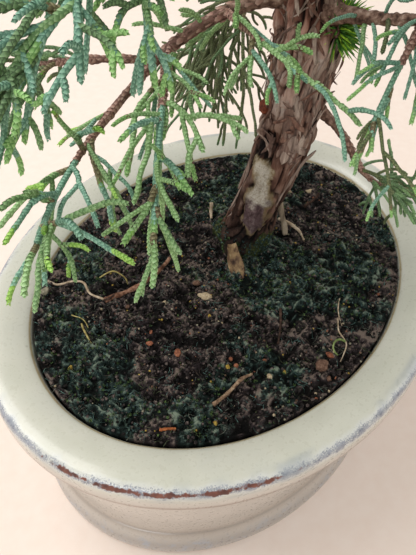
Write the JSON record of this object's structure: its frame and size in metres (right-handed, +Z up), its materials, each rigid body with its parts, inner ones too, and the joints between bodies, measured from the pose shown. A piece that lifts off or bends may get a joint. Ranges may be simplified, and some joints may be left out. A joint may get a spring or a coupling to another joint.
{
  "type": "potted juniper bonsai",
  "caption": "Small juniper bonsai with a leaning trunk, spreading boughs and scale-leaf foliage, in an oval glazed pot.",
  "frame": {"origin": "middle of the pot's flat underside", "axes": "+X along the pot's long axis, +Y along its short axis, +Z up"},
  "size_m": [0.1766, 0.171, 0.2475],
  "materials": {
    "glaze": "cream glaze that breaks to rust and lavender at the rim's corner",
    "earth": "damp dark soil with moss and grit",
    "bark": "fibrous peeling red-brown bark",
    "twig_bark": "scaly brown young bark",
    "dead_wood": "pale bare dead wood",
    "foliage": "matte grey-green scale leaves with bright tips"
  },
  "bodies": {
    "root": {"back_bough": "twig_bark", "back_right_bough": "twig_bark", "crown_left_bough": "twig_bark", "crown_right_bough": "twig_bark", "dead_stub": "dead_wood", "foliage_back_hanging": "foliage", "foliage_back_right": "foliage", "foliage_crown_left": "foliage", "foliage_crown_right": "foliage", "foliage_front": "foliage", "foliage_left_back": "foliage", "foliage_left_front": "foliage", "foliage_left_hanging": "foliage", "foliage_left_rear": "foliage", "foliage_low_right": "foliage", "foliage_right_hanging": "foliage", "foliage_right_near": "foliage", "foliage_right_outer": "foliage", "foliage_top": "foliage", "foliage_upper_back": "foliage", "foliage_upper_front": "foliage", "foliage_upper_left": "foliage", "foliage_upper_right": "foliage", "left_back_bough": "twig_bark", "left_bough": "twig_bark", "left_fork_front": "twig_bark", "left_fork_rear": "twig_bark", "low_right_branch": "twig_bark", "pot": "glaze", "right_bough": "twig_bark", "right_fork": "twig_bark", "soil": "earth", "trunk": "bark", "upper_back_bough": "twig_bark", "upper_front_bough": "twig_bark", "upper_left_bough": "twig_bark", "upper_right_bough": "twig_bark"}
  },
  "joints": []
}
